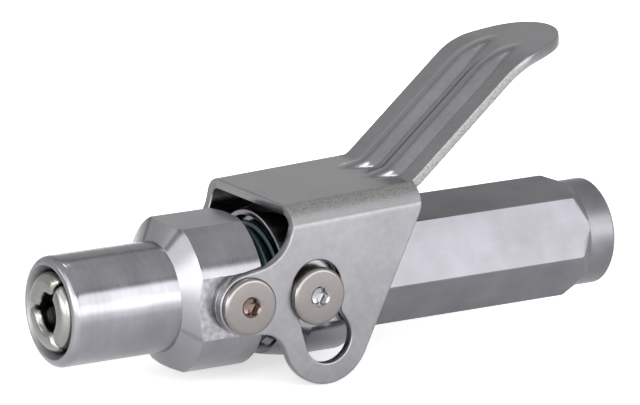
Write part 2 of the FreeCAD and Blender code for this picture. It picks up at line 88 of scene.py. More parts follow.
def rounded(corners, steps=8):
    """Profile through corners (a, b, radius), each replaced by the arc that touches both sides: from
    its centre, at a share q of its turn t, it is at (sin((1 - q) t) start + sin(q t) end) / sin t."""
    spots = []
    for index, (a, b, radius) in enumerate(corners):
        here = np.array([a, b], float)
        if radius == 0 or index in (0, len(corners) - 1):
            spots.append(here[None])
            continue
        back = np.array(corners[index - 1][:2]) - here
        ahead = np.array(corners[index + 1][:2]) - here
        back /= np.linalg.norm(back)
        ahead /= np.linalg.norm(ahead)
        half = math.acos(np.clip(back @ ahead, -1, 1)) / 2
        inward = (back + ahead) / np.linalg.norm(back + ahead)
        centre = here + inward * radius / math.sin(half)
        start = here + back * radius / math.tan(half) - centre
        end = here + ahead * radius / math.tan(half) - centre
        turn = math.pi - 2 * half
        share = np.linspace(0, 1, steps + 1)[:, None]
        mixed = np.sin((1 - share) * turn) * start + np.sin(share * turn) * end
        spots.append(centre + mixed / math.sin(turn))
    return np.concatenate(spots)


def spaced(profile, step):
    """Profile with points added so that none are further apart than step: even shares of each run."""
    runs = np.diff(profile, axis=0)
    counts = np.maximum(np.ceil(np.linalg.norm(runs, axis=1) / step).astype(int), 1)
    owner = np.repeat(np.arange(len(runs)), counts)
    share = np.concatenate([np.arange(count) / count for count in counts])
    return np.concatenate([profile[owner] + runs[owner] * share[:, None], profile[-1:]])


def turned(profile, angle=np.linspace(0, math.tau, 145)):
    """Turned surface: each profile point (x, r) goes round the X axis as (x, r cos a, r sin a)."""
    x = np.repeat(profile[:, :1], len(angle), axis=1)
    return np.stack([x, profile[:, 1:] * np.cos(angle), profile[:, 1:] * np.sin(angle)], axis=-1)


def flatted(profile, apothem, flats, turn=0.0):
    """Turned surface with flats: at angle a from the middle of a flat the radius is the smaller of
    the profile's r and apothem / cos a, and the columns meet the edge of the flat at every station."""
    sector = math.tau / flats
    radius = profile[:, 1:]
    edge = np.arccos(np.clip(apothem / np.maximum(radius, LEAST_RADIUS), -1, 1))
    edge = np.clip(np.where(radius > apothem, edge, 0), LEAST_FLAT, sector / 2 - LEAST_ARC)
    on_flat = np.linspace(-1, 1, FLAT_STEPS + 1)[None] * edge
    on_arc = edge + (sector - 2 * edge) * np.linspace(0, 1, ARC_STEPS + 1)[None, 1:-1]
    local = np.concatenate([on_flat, on_arc], axis=1)
    from_flat = np.abs((local + sector / 2) % sector - sector / 2)
    reach = np.minimum(radius, apothem / np.cos(from_flat))
    angles = np.concatenate([local + number * sector for number in range(flats)], axis=1)
    angles = angles + math.radians(turn)
    reaches = np.tile(reach, (1, flats))
    angles = np.concatenate([angles, angles[:, :1] + math.tau], axis=1)
    reaches = np.concatenate([reaches, reaches[:, :1]], axis=1)
    x = np.repeat(profile[:, :1], angles.shape[1], axis=1)
    return np.stack([x, reaches * np.cos(angles), reaches * np.sin(angles)], axis=-1)


def shell(name, points, faces, body, material, sharp):
    """One closed mesh from points in millimetres: what meets is merged, and the faces turn outwards.
    It rides on the body, or on none where body is None."""
    mesh = bpy.data.meshes.new(name)
    mesh.from_pydata((points * MM).tolist(), [], faces)
    work = bmesh.new()
    work.from_mesh(mesh)
    bmesh.ops.remove_doubles(work, verts=work.verts, dist=MERGE)
    bmesh.ops.dissolve_degenerate(work, edges=work.edges, dist=SLIVER)
    bmesh.ops.recalc_face_normals(work, faces=work.faces)
    work.to_mesh(mesh)
    work.free()
    mesh.shade_smooth()
    mesh.set_sharp_from_angle(angle=math.radians(sharp))
    mesh.materials.append(material)
    piece = bpy.data.objects.new(name, mesh)
    bpy.context.scene.collection.objects.link(piece)
    if body is not None:
        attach(piece, body)
    return piece


def build(name, grids, body, material, sharp=22.0, loops=()):
    """A shell from grids of points, whose cells of four neighbours are faces, and from flat loops."""
    points = []
    faces = []
    offset = 0
    for grid in grids:
        rows, columns = grid.shape[:2]
        index = np.arange(rows * columns).reshape(rows, columns) + offset
        cells = np.stack([index[:-1, :-1], index[:-1, 1:], index[1:, 1:], index[1:, :-1]], axis=-1)
        points.append(grid.reshape(-1, 3))
        faces += cells.reshape(-1, 4).tolist()
        offset += rows * columns
    for loop in loops:
        points.append(loop)
        faces.append(list(range(offset, offset + len(loop))))
        offset += len(loop)
    return shell(name, np.concatenate(points), faces, body, material, sharp)


class Wire:
    """A shader socket; Python's operators on it add Math nodes."""

    def __init__(self, nodes, socket):
        self.nodes = nodes
        self.socket = socket

    def __abs__(self):
        return self.nodes.math("ABSOLUTE", self)

    def __add__(self, other):
        return self.nodes.math("ADD", self, other)

    def __radd__(self, other):
        return self.nodes.math("ADD", other, self)

    def __sub__(self, other):
        return self.nodes.math("SUBTRACT", self, other)

    def __rsub__(self, other):
        return self.nodes.math("SUBTRACT", other, self)

    def __mul__(self, other):
        return self.nodes.math("MULTIPLY", self, other)

    def __rmul__(self, other):
        return self.nodes.math("MULTIPLY", other, self)


class Nodes:
    """The nodes of a material or world under construction, with one method that adds any node."""

    def __init__(self, block):
        self.block = block
        block.use_nodes = True
        self.tree = block.node_tree
        self.tree.nodes.clear()

    def node(self, kind, settings=None, inputs=None, output=0):
        """Adds a node with its settings and inputs, and gives one of its outputs."""
        added = self.tree.nodes.new(kind)
        for key, value in (settings or {}).items():
            setattr(added, key, value)
        for key, value in (inputs or {}).items():
            if isinstance(value, Wire):
                self.tree.links.new(value.socket, added.inputs[key])
            else:
                added.inputs[key].default_value = value
        return Wire(self, added.outputs[output]) if len(added.outputs) else None

    def math(self, operation, first, second=0.0):
        """One operation on one or two values."""
        return self.node("ShaderNodeMath", {"operation": operation}, {0: first, 1: second})

    def dot(self, first, second):
        """How far one vector goes along another."""
        pair = {0: first, 1: second}
        return self.node("ShaderNodeVectorMath", {"operation": "DOT_PRODUCT"}, pair, output=1)

    def spot(self):
        """The shaded point, in metres and in the axes of the piece."""
        return self.node("ShaderNodeTexCoord", output="Object")

    def axis(self, number):
        """The shaded point in millimetres along one axis: 0 along the coupler, 1 across it, 2 up."""
        return self.node("ShaderNodeSeparateXYZ", {}, {"Vector": self.spot()}, output=number) * 1000.0

    def noise(self, scale, detail):
        """Smooth random values from 0 to 1, with scale waves per metre along each axis of the piece."""
        place = self.node("ShaderNodeMapping", {}, {"Vector": self.spot(), "Scale": scale})
        return self.node("ShaderNodeTexNoise", {}, {"Vector": place, "Scale": 1.0, "Detail": detail})

    def band(self, value, low, high, bottom=0.0, top=1.0):
        """Straight ramp from bottom to top, clamped, as value goes from low to high."""
        ends = {"Value": value, "From Min": low, "From Max": high, "To Min": bottom, "To Max": top}
        return self.node("ShaderNodeMapRange", {"clamp": True}, ends)

    def window(self, value, rise, fall):
        """From 0 to 1 as value goes through the rise, and back to 0 as it goes through the fall."""
        return self.band(value, *rise) * self.band(value, *fall, 1.0, 0.0)

    def tint(self, factor, first, second):
        """Mix of two colours by a factor."""
        mix = {0: factor, 6: first, 7: second}
        return self.node("ShaderNodeMix", {"data_type": "RGBA"}, mix, output=2)

    def relief(self, height, distance):
        """Bump by a height from 0 to 1 over a distance in metres."""
        return self.node("ShaderNodeBump", {}, {"Height": height, "Distance": distance})

    def close(self, inputs):
        """Principled surface with these inputs, which ends the material."""
        surface = self.node("ShaderNodeBsdfPrincipled", {}, inputs)
        self.node("ShaderNodeOutputMaterial", {}, {"Surface": surface})
        return self.block


def plated(name, shade, rough, marks):
    """Plated metal: fine tool marks across one axis, cloudy roughness and a slight change of tone."""
    nodes = Nodes(bpy.data.materials.new(name))
    lines = nodes.noise(marks, 3.0)
    cloud = nodes.noise(CLOUDS, 4.0)
    dark = tuple(channel * DARK_SHARE for channel in shade) + (1.0,)
    light = tuple(channel * LIGHT_SHARE for channel in shade) + (1.0,)
    return nodes.close({
        "Base Color": nodes.tint(nodes.band(cloud * 0.8 + lines * 0.2, 0.35, 0.65), dark, light),
        "Metallic": 1.0,
        "Roughness": rough + (lines - 0.5) * MARK_SPREAD + (cloud - 0.5) * MARK_SPREAD,
        "Normal": nodes.relief(lines, MARK_DEPTH),
    })


bar_profile = rounded([
    (SPIGOT_FRONT, CHAMBER_RADIUS, 0),
    (SPIGOT_FRONT, SPIGOT_RADIUS, 0.3),
    (BAR_FRONT, SPIGOT_RADIUS, 0),
    (BAR_FRONT, BAR_CORNER, 0.25),
    (BAR_CONE_START, BAR_CORNER, 1.0),
    (COLLAR_FRONT, COLLAR_RADIUS, 0.4),
    (-COLLAR_CHAMFER, COLLAR_RADIUS, 0.15),
    (0.0, COLLAR_RADIUS - COLLAR_CHAMFER, 0.1),
    (0.0, PORT_RADIUS + THREAD_DEPTH, 0.1),
    (-THREAD_DEPTH, PORT_RADIUS, 0),
])
bar_skin = flatted(spaced(bar_profile, 2.0), BAR_APOTHEM, 6, BAR_TURN)

# The thread's radius rises and falls straight once a pitch, and fades out at both ends.
bore_angle = np.unwrap(np.arctan2(bar_skin[-1, :, 2], bar_skin[-1, :, 1]))
thread_end = -PORT_DEPTH + THREAD_RUNOUT
thread_x = np.linspace(-THREAD_DEPTH, thread_end, THREAD_STATIONS)[:, None] + 0 * bore_angle
thread_phase = (thread_x / THREAD_PITCH + bore_angle / math.tau) % 1
fade_in = np.clip((-THREAD_DEPTH - thread_x) / THREAD_FADE, 0, 1)
fade_out = np.clip((thread_x - thread_end) / THREAD_FADE, 0, 1)
thread_radius = PORT_RADIUS + THREAD_DEPTH * fade_in * fade_out * (1 - np.abs(2 * thread_phase - 1))
port_thread = np.stack([
    thread_x,
    thread_radius * np.cos(bore_angle),
    thread_radius * np.sin(bore_angle),
], axis=-1)
feed_bore = turned(np.array([
    (thread_end, PORT_RADIUS),
    (-PORT_DEPTH, PORT_RADIUS),
    (-PORT_DEPTH - DRILL_CONE, FEED_RADIUS),
    (CHAMBER_END, FEED_RADIUS),
    (CHAMBER_END, CHAMBER_RADIUS),
    (SPIGOT_FRONT, CHAMBER_RADIUS),
]), bore_angle)
bar_steel = plated("drawn_bar_nickel", (0.188, 0.186, 0.202), 0.38, (60.0, 2600.0, 2600.0))
adapter = build("hose_adapter", [bar_skin, port_thread, feed_bore], "body", bar_steel)
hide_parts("adapter")

# Check valve and sealing washer.
# A hardened ball is pressed by a light spring on a brass seat in the adapter, and a rubber washer
# seals the spigot. Behind the nozzle seal a brass pusher with a spring of its own holds the seal.
CHECK_SPRING = (-50.45, -40.73)
CHECK_RADIUS = 1.95
CHECK_TURNS = 6
SEAL_SPRING = (-81.3, -67.05)
SEAL_RADIUS = 2.5
SEAL_TURNS = 9
FINE_WIRE = 0.3
COIL_STEPS = 48
WIRE_SIDES = 20
WIRE_END = 0.86
GRAIN_DARK = 0.7


def coat(nodes_of_cad, material):
    """The material on CAD nodes that keep their solids."""
    for name in nodes_of_cad:
        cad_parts[name].data.materials.clear()
        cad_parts[name].data.materials.append(material)


def moulded(name, shade, rough):
    """Moulded rubber: dark, with a fine grain in its tone, its gloss and its relief."""
    nodes = Nodes(bpy.data.materials.new(name))
    grain = nodes.noise((2200.0, 2200.0, 2200.0), 3.0)
    dark = tuple(channel * GRAIN_DARK for channel in shade) + (1.0,)
    return nodes.close({
        "Base Color": nodes.tint(grain, dark, shade + (1.0,)),
        "Roughness": rough + (grain - 0.5) * 0.2,
        "Normal": nodes.relief(grain, 0.00001),
    })


def coiled(front, rear, wire, radius, turns):
    """Helical wire: its centre goes round as (x, R sin t, -R cos t), with x even along t, and its
    section is a circle in the radial and axial directions that closes at both ends."""
    share = np.concatenate([[0, 0], np.linspace(0, 1, int(turns * COIL_STEPS)), [1, 1]])[:, None]
    size = np.ones_like(share) * wire
    size[[0, -1]] = 0
    size[[1, -2]] = wire * WIRE_END
    t = share * turns * math.tau + math.pi / 2
    around = np.linspace(0, math.tau, WIRE_SIDES + 1)[None]
    x = front + wire + share * (rear - front - 2 * wire) + size * np.sin(around)
    distance = radius + size * np.cos(around)
    return np.stack([x, distance * np.sin(t), -distance * np.cos(t)], axis=-1)


def spring(name, ends, wire, radius, turns, node):
    """Coil between the body and a moving body, built where it stands and attached to neither."""
    front, rear = ends
    piece = build(name, [coiled(front, rear, wire, radius, turns)], None, spring_steel, 40.0)
    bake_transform(piece)
    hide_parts(node)


brass = plated("turned_brass", (0.62, 0.42, 0.19), 0.24, (2400.0, 60.0, 60.0))
hard_steel = plated("polished_hard_steel", (0.225, 0.225, 0.212), 0.2, (900.0, 900.0, 900.0))
spring_steel = plated("oiled_spring_wire", (0.055, 0.085, 0.095), 0.28, (900.0, 900.0, 900.0))
rubber = moulded("nitrile_rubber", (0.035, 0.045, 0.038), 0.45)
coat(("check_seat", "seal_pusher"), brass)
coat(("check_ball",), hard_steel)
coat(("adapter_seal", "jaw_ring"), rubber)
spring("check_valve_spring", CHECK_SPRING, FINE_WIRE, CHECK_RADIUS, CHECK_TURNS,
       "check_spring")
spring("nozzle_seal_spring", SEAL_SPRING, FINE_WIRE, SEAL_RADIUS, SEAL_TURNS,
       "seal_spring")

# Body.
# One turned and milled piece of nickel plated steel with four flats. Its front takes the return
# spring, its barrel carries the sleeve, and its stem holds the jaws and the nozzle seal.
HEAD_FLAT = 10.49
FLANGE_RADIUS = 11.43
FLAT_CORNER = math.acos(HEAD_FLAT / FLANGE_RADIUS)
BARREL_RADIUS = 6.6
STEM_RADIUS = 4.0
HOOK_RADIUS = 3.4
BODY_BORE = 3.0
BODY_SOCKET = 7.0
PASSAGE_RADIUS = 1.6
SPRING_SEAT = 9.7

# The nickel, for body and sleeve, differs by place: turned all over, mottled and with painted light
# that makes them lighter on the milled side flats, ground on the sleeve's cone, with a dark line of
# painted shade below each corner of a flat, and dull in the sleeve's mouth.
CONE_START = -74.0
CONE_END = -71.95
CONE_SOFTNESS = 0.1
MOUTH_END = -88.4
MOUTH_RADIUS = 6.7
nodes = Nodes(bpy.data.materials.new("turned_and_milled_nickel"))
lines = nodes.noise((2600.0, 60.0, 60.0), 3.0)
cloud = nodes.noise(CLOUDS, 4.0)
mottle = nodes.noise((1500.0, 1500.0, 1500.0), 4.0)
along = nodes.axis(0)
across = abs(nodes.axis(1))
upward = nodes.axis(2)
angle = nodes.math("ARCTAN2", upward, across)
from_axis = nodes.math("SQRT", across * across + upward * upward)
milled = nodes.band(across, HEAD_FLAT - 0.04, HEAD_FLAT - 0.02)
cone_rise = (CONE_START, CONE_START + CONE_SOFTNESS)
cone_fall = (CONE_END - CONE_SOFTNESS, CONE_END)
ground = nodes.window(along, cone_rise, cone_fall)
# Painted shade: a dark line on the ground cone just below each corner of a flat, from the two masks
# below.
below_top_flat = nodes.band(abs(angle - (math.pi / 2 - FLAT_CORNER)), 0.02, 0.09, 1.0, 0.0)
beside_side_flat = nodes.band(abs(angle + FLAT_CORNER), 0.01, 0.06, 0.4, 0.0)
painted_crease_shade = ground * (below_top_flat + beside_side_flat)
mouth = nodes.band(along, MOUTH_END, MOUTH_END + 0.2, 1.0, 0.0)
mouth = mouth * nodes.band(from_axis, MOUTH_RADIUS, MOUTH_RADIUS + 0.1, 1.0, 0.0)
streaks = nodes.band(cloud * 0.8 + lines * 0.2, 0.35, 0.65)
turned_tone = nodes.tint(streaks, (0.204, 0.201, 0.218, 1), (0.265, 0.262, 0.284, 1))
# Milled side flats: a random mottle, and a lighter level than the rest of the nickel, which is painted
# light.
milled_and_lit_tone = nodes.tint(nodes.band(mottle, 0.4, 0.6), (0.25, 0.247, 0.262, 1), (0.34, 0.338, 0.355, 1))
ground_tone = nodes.tint(cloud, (0.235, 0.232, 0.25, 1), (0.27, 0.267, 0.285, 1))
# The painted shade line darkens the ground tone of the cone.
ground_tone = nodes.tint(painted_crease_shade, ground_tone, (0.11, 0.108, 0.116, 1))
tone = nodes.tint(ground, turned_tone, ground_tone)
tone = nodes.tint(milled, tone, milled_and_lit_tone)
tone = nodes.tint(mouth, tone, (0.235, 0.224, 0.226, 1))
rough = 0.18 + milled * 0.05 + ground * 0.12 + mouth * 0.3
nickel = nodes.close({
    "Base Color": tone,
    "Metallic": 1.0,
    "Roughness": rough + (lines - 0.5) * MARK_SPREAD + (cloud - 0.5) * MARK_SPREAD,
    "Normal": nodes.relief(lines * (1.0 - milled) + mottle * milled, 0.000005),
})
body_profile = rounded([
    (-86.0, 2.6, 0),
    (-86.0, STEM_RADIUS, 0.3),
    (-78.8, STEM_RADIUS, 0),
    (-78.8, HOOK_RADIUS, 0),
    (-76.8, HOOK_RADIUS, 0),
    (-76.8, STEM_RADIUS, 0),
    (-75.8, STEM_RADIUS, 0),
    (-75.8, BARREL_RADIUS, 0.4),
    (-57.0, BARREL_RADIUS, 0),
    (-57.0, SPRING_SEAT, 0),
    (-58.3, SPRING_SEAT, 0.08),
    (-58.3, 10.45, 0.25),
    (-54.0, FLANGE_RADIUS, 1.0),
    (-46.5, FLANGE_RADIUS, 1.0),
    (-43.5, 10.2, 0.6),
    (-42.0, 10.2, 0.2),
    (-42.0, BODY_SOCKET, 0),
    (-50.5, BODY_SOCKET, 0),
    (-50.5, PASSAGE_RADIUS, 0),
    (-67.0, PASSAGE_RADIUS, 0),
    (-67.0, BODY_BORE, 0),
    (-85.4, BODY_BORE, 0),
    (-85.4, 2.6, 0),
    (-86.0, 2.6, 0),
])
body_skin = flatted(spaced(body_profile, 2.0), HEAD_FLAT, 4)
coupler_body = build("coupler_body", [body_skin], "body", nickel)
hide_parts("body")

# Return spring.
# Round spring wire, oiled dark, wound in two and a half turns. Its rear end stays in the body, and
# its front end goes forward with the sleeve.
RETURN_SPRING = (-63.05, -57.05)
RETURN_WIRE = 0.75
RETURN_RADIUS = 8.25
RETURN_TURNS = 2.5
spring("sleeve_return_spring", RETURN_SPRING, RETURN_WIRE, RETURN_RADIUS, RETURN_TURNS,
       "return_spring")

# Nozzle seal.
# A moulded rubber cup with a flange, held in the end of the stem, with a cone that meets the nipple.
seal_profile = rounded([
    (-86.8, 0.9, 0),
    (-87.6, 1.7, 0.12),
    (-87.6, 2.45, 0.3),
    (-85.35, 2.45, 0.1),
    (-85.35, 2.9, 0.1),
    (-84.4, 2.9, 0.1),
    (-84.4, 0.9, 0),
    (-86.8, 0.9, 0),
])
seal_rubber = moulded("green_black_rubber", (0.02, 0.035, 0.026), 0.3)
nozzle_seal = build("stem_nozzle_seal", [turned(seal_profile)], "seal", seal_rubber, 40.0)
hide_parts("nozzle_seal")

# Jaws.
# Three hardened and polished segments, sawn from one turned collet, with all edges rolled over. They
# hook into the groove of the stem and close on the head of the grease nipple.
JAW_LIP = 2.62
JAW_SLIT = 0.35
JAW_FRONT_EDGE = 0.85
JAW_REAR_EDGE = 0.18
JAW_EDGE_CHANGE = (-89.6, -88.6)
jaw_profile = spaced(rounded([
    (-90.3, JAW_LIP, 0),
    (-91.65, JAW_LIP, 1.05),
    (-91.65, 5.8, 1.6),
    (-88.6, 5.8, 0.6),
    (-87.6, 5.2, 0.6),
    (-83.0, 5.2, 0),
    (-83.0, 4.8, 0),
    (-81.6, 4.8, 0),
    (-81.6, 5.2, 0),
    (-76.0, 5.2, 0.15),
    (-76.0, 4.3, 0.15),
    (-76.95, 4.3, 0),
    (-76.95, 3.55, 0),
    (-78.65, 3.55, 0),
    (-78.65, 4.3, 0),
    (-86.3, 4.3, 0),
    (-86.3, 3.7, 0.2),
    (-88.8, 3.7, 0.4),
    (-89.95, JAW_LIP, 0.4),
    (-90.3, JAW_LIP, 0),
]), 0.3)


def jaw_sector(profile, middle):
    """A third of a turned ring: the profile sweeps 120 degrees less the slit, and near each slit face
    it shrinks along a quarter circle, so that the face's rim is round. Gives the grid of points."""
    ahead = np.roll(profile[:-1], -1, axis=0) - np.roll(profile[:-1], 1, axis=0)
    ahead /= np.linalg.norm(ahead, axis=1, keepdims=True)
    inward = np.stack([ahead[:, 1], -ahead[:, 0]], axis=1)
    inward = np.concatenate([inward, inward[:1]])
    edge = np.interp(profile[:, 0], JAW_EDGE_CHANGE, [JAW_FRONT_EDGE, JAW_REAR_EDGE])[:, None]
    turn = np.linspace(0, math.pi / 2, 8)[None]
    x = profile[:, :1] + inward[:, :1] * edge * (1 - np.sin(turn))
    radius = profile[:, 1:] + inward[:, 1:] * edge * (1 - np.sin(turn))
    from_face = JAW_SLIT / 2 + edge * (1 - np.cos(turn))
    angle = math.pi / 3 - np.arcsin(from_face / radius)
    share = np.linspace(1, -1, 41)[None, 1:-1]
    between = share.shape[1]
    x = np.concatenate([x, np.repeat(x[:, -1:], between, axis=1), x[:, ::-1]], axis=1)
    radius = np.concatenate([radius, np.repeat(radius[:, -1:], between, axis=1), radius[:, ::-1]], axis=1)
    angle = np.concatenate([angle, angle[:, -1:] * share, -angle[:, ::-1]], axis=1) + middle
    return np.stack([x, radius * np.cos(angle), radius * np.sin(angle)], axis=-1)


for number in (1, 2, 3):
    grid = jaw_sector(jaw_profile, math.radians(120 * number - 60))
    slit_faces = [grid[:-1, 0], grid[:-1, -1]]
    jaw = build("gripping_jaw_%d" % number, [grid], "jaw_%d" % number, hard_steel, 35.0, slit_faces)
    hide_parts("jaw_%d" % number)

# Sliding sleeve.
# Turned from round bar, plated and polished, with a thin nose round the jaws and a flange with
# four milled flats. The pivot screws of the lever go into its side flats.
NOSE_RADIUS = 8.0
MOUTH_WALL = 6.13
JAW_SPACE = 5.76
SLEEVE_BORE = 6.7
SLEEVE_SEAT = 9.3
sleeve_profile = rounded([
    (-83.13, SLEEVE_BORE, 0),
    (-83.6, JAW_SPACE, 0),
    (-85.6, JAW_SPACE, 0),
    (-88.6, MOUTH_WALL, 0),
    (-89.9, MOUTH_WALL, 0.3),
    (-91.0, 6.8, 0.1),
    (-91.0, NOSE_RADIUS, 1.1),
    (CONE_START, NOSE_RADIUS, 0),
    (CONE_END, FLANGE_RADIUS, 0),
    (-62.3, FLANGE_RADIUS, 0.2),
    (-60.8, 9.93, 0.1),
    (-60.8, SLEEVE_SEAT, 0.1),
    (-63.1, SLEEVE_SEAT, 0),
    (-63.1, SLEEVE_BORE, 0),
    (-83.13, SLEEVE_BORE, 0),
], 10)
sleeve_skin = flatted(spaced(sleeve_profile, 1.0), HEAD_FLAT, 4)
sleeve = build("sliding_sleeve", [sleeve_skin], "sleeve", nickel, 16.0)
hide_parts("sleeve")

# Washers and bushes of the two cross axes.
# Thin steel washers space the lever from the flats, and the guide screws carry hard bushes that
# run in the slots of the lever.
CROSS_HEIGHT = 0.25
PIVOT_X = -65.8
GUIDE_X = -54.55
WASHER_START = 10.5
WASHER_END = 10.85
BUSH_END = 12.45


def on_cross_axis(station, profile, angle=np.linspace(0, math.tau, 97)):
    """Turned pair: each profile point (y, r) goes round the cross axis at the station, as
    (r cos a, y, r sin a), and once more as its mirror image on the other side."""
    height, radius = np.broadcast_arrays(profile[0], profile[1])
    right = np.stack([
        station + radius * np.cos(angle),
        height + 0 * angle,
        CROSS_HEIGHT + radius * np.sin(angle),
    ], axis=-1)
    return [right, right * np.array([1, -1, 1])]


def columns(profile):
    """A profile's two coordinates as two columns, to spread over all angles."""
    return profile[:, :1], profile[:, 1:]


washer_steel = plated("ground_washer_steel", (0.27, 0.27, 0.28), 0.22, (1500.0, 1500.0, 1500.0))
for name, station, body, end, inner, outer, node in (
        ("pivot_thin_washers", PIVOT_X, "sleeve", WASHER_END, 2.65, 4.4, "pivot_washers"),
        ("guide_thin_washers", GUIDE_X, "body", WASHER_END, 2.75, 5.1, "guide_washers"),
        ("guide_round_bushes", GUIDE_X, "body", BUSH_END, 2.05, 2.7, "guide_bushes")):
    section = rounded([
        (WASHER_START, (inner + outer) / 2, 0),
        (WASHER_START, outer, 0.1),
        (end, outer, 0.1),
        (end, inner, 0.08),
        (WASHER_START, inner, 0.08),
        (WASHER_START, (inner + outer) / 2, 0),
    ], 3)
    ring = build(name, on_cross_axis(station, columns(section)), body, washer_steel)
    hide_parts(node)

# Lever.
# Cut from zinc plated sheet and pressed: two ears with cam slots, the plate that joins them, and a
# handle with two stiffening ribs. It turns on the pivot screws, and the slots run on the bushes.
SHEET = 1.5
BEND = 3.0
FLAT_HALF = 9.4
BEND_END = FLAT_HALF + BEND * math.pi / 2
EAR_FACE = FLAT_HALF + BEND
PLATE_SLOPE = math.radians(2.2)
PLATE_STATION = 8.8
PLATE_HEIGHT = 13.06
PLATE_FRONT = 7.55
PLATE_REAR = 28.94
HANDLE_START = 28.082
HANDLE_SLOPE = math.radians(40.4)
HANDLE_RUN = 19.758
HANDLE_BEND = 3.0
HANDLE_HALF = 9.45
HANDLE_BLEND = 1.2
TIP_SLOPE = math.radians(12.9)
TIP_BEND = 13.0
TIP_END = 64.479
TIP_CORNER = (47.38, 29.378)
TIP_RADIUS = 8.45
TIP_CENTRE = 3.13
TIP_JOIN = math.atan2(12.0, 5.0)
SIDE_START = -1.87
SIDE_RADIUS = 21.45
RIB_SPACING = 3.3
RIB_RADIUS = 4.88
RIB_LIMIT = 8.0
RIB_ROOT_SOFTNESS = 0.08
PIVOT_HOLE = 2.65
EDGE = 0.2
HOLD = 0.36
CLEARANCE = 0.55
SMALL_STEP = 0.02
TOOL_STEP = 0.05
EDGE_STEP = 0.35
SLOT_ARC_STEP = 0.25
SLOT_STEP = 0.3
HANDLE_GRID = (0.45, 0.38)
EAR_GRID = (1.0, 0.95)
BEND_FOOT = (9.4, 10.2)
BEND_SIDE = (11.2, 12.0)
EAR_SIDE = (11.5, 12.3)


def plate_top(u):
    """Height of the plate's upper face over the pivot, at u behind the pivot: straight at its slope."""
    return PLATE_HEIGHT + (u - PLATE_STATION) * math.tan(PLATE_SLOPE)


def belt(circles, step=0.3):
    """Outline of a belt laid round circles (u, w, r, side), anticlockwise: arcs joined by the tangents
    they share; side 1 goes round a circle and side -1 dips into it. A tangent's normal is the heading
    to the next circle plus acos((next side * next r - side * r) / distance)."""
    following = circles[1:] + circles[:1]
    normals = []
    for (u, w, radius, side), (next_u, next_w, next_radius, next_side) in zip(circles, following):
        distance = math.hypot(next_u - u, next_w - w)
        heading = math.atan2(next_w - w, next_u - u)
        normals.append(heading + math.acos((next_side * next_radius - side * radius) / distance))
    spots = []
    for index, (u, w, radius, side) in enumerate(circles):
        arrive, leave = normals[index - 1], normals[index]
        sweep = (leave - arrive) % math.tau if side > 0 else -((arrive - leave) % math.tau)
        angles = arrive + sweep * np.linspace(0, 1, max(int(radius * abs(sweep) / step), 1) + 1)
        reach = side * radius
        if radius > 0:
            spots.append(np.stack([u - reach * np.cos(angles), w - reach * np.sin(angles)], axis=1))
    return np.concatenate(spots)


def laid_flat(outline):
    """Points (u, w) of an ear on the flat blank, as (u, v): v grows from the middle of the plate, round
    the bend and down the ear, by how far the point is below the plate."""
    drop = plate_top(outline[:, 0]) - outline[:, 1]
    on_bend = FLAT_HALF + BEND * np.arccos(np.clip(1 - drop / BEND, 0, 1))
    return np.stack([outline[:, 0], np.where(drop < BEND, on_bend, BEND_END + drop - BEND)], axis=1)


# The upper face along the middle: its heading is even on the straights and grows evenly in the bends.
run = np.linspace(HANDLE_START, TIP_END + 1, 4000)
knots = np.cumsum([
    HANDLE_START,
    HANDLE_BEND * (HANDLE_SLOPE - PLATE_SLOPE),
    HANDLE_RUN,
    TIP_BEND * (HANDLE_SLOPE - TIP_SLOPE),
])
line_heading = np.interp(run, knots, [PLATE_SLOPE, HANDLE_SLOPE, HANDLE_SLOPE, TIP_SLOPE])
half_step = (line_heading[1:] + line_heading[:-1]) / 2
line_u = HANDLE_START + np.concatenate([[0], np.cumsum(np.cos(half_step) * np.diff(run))])
line_w = plate_top(HANDLE_START) + np.concatenate([[0], np.cumsum(np.sin(half_step) * np.diff(run))])

# The path of the tool that presses the ribs, and how far below the upper face it lies.
tool_corners = [(20.8, 7.673, 0), (31.33, 10.298, 8.0), (49.1, 25.418, 9.0), (55.1, 25.523, 0)]
tool_path = spaced(rounded(tool_corners, 24), TOOL_STEP)
tool_run = np.linspace(PLATE_FRONT - 1, TIP_END + 1, 600)
tool_u = np.where(tool_run < HANDLE_START, tool_run, np.interp(tool_run, run, line_u))
tool_w = np.where(tool_run < HANDLE_START, plate_top(tool_run), np.interp(tool_run, run, line_w))
tool_depth = np.hypot(tool_u[:, None] - tool_path[:, 0], tool_w[:, None] - tool_path[:, 1]).min(axis=1)


def pressed(spots):
    """Upper face of the pressed sheet over the blank: (p, v) runs p along the plate and handle, whose
    bends are arcs, and v across, round each side bend and down the ears; the ribs rise by how far
    their tool reaches through the face, d = sqrt(R^2 - (v - spacing)^2) - depth, as
    (d + sqrt(d^2 + softness^2)) / 2."""
    p, v = spots[:, 0], spots[:, 1]
    width = np.abs(v)
    on_handle = np.clip(1 - (width - HANDLE_HALF - 0.05) / HANDLE_BLEND, 0, 1) * (p > HANDLE_START)
    u = p + on_handle * (np.interp(p, run, line_u) - p)
    w = plate_top(p) + on_handle * (np.interp(p, run, line_w) - plate_top(p))
    heading = PLATE_SLOPE + on_handle * (np.interp(p, run, line_heading) - PLATE_SLOPE)
    turn = np.clip((width - FLAT_HALF) / BEND, 0, math.pi / 2)
    drop = BEND * (1 - np.cos(turn)) + np.maximum(width - BEND_END, 0)
    y = np.sign(v) * (np.minimum(width, FLAT_HALF) + BEND * np.sin(turn))
    reach = np.sqrt(np.maximum(RIB_RADIUS ** 2 - (width - RIB_SPACING) ** 2, 0))
    reach = reach - np.interp(p, tool_run, tool_depth)
    rise = (reach + np.hypot(reach, RIB_ROOT_SOFTNESS)) / 2 * (width < RIB_LIMIT)
    return np.stack([u - np.sin(heading) * rise, y, w - drop + np.cos(heading) * rise], axis=1)


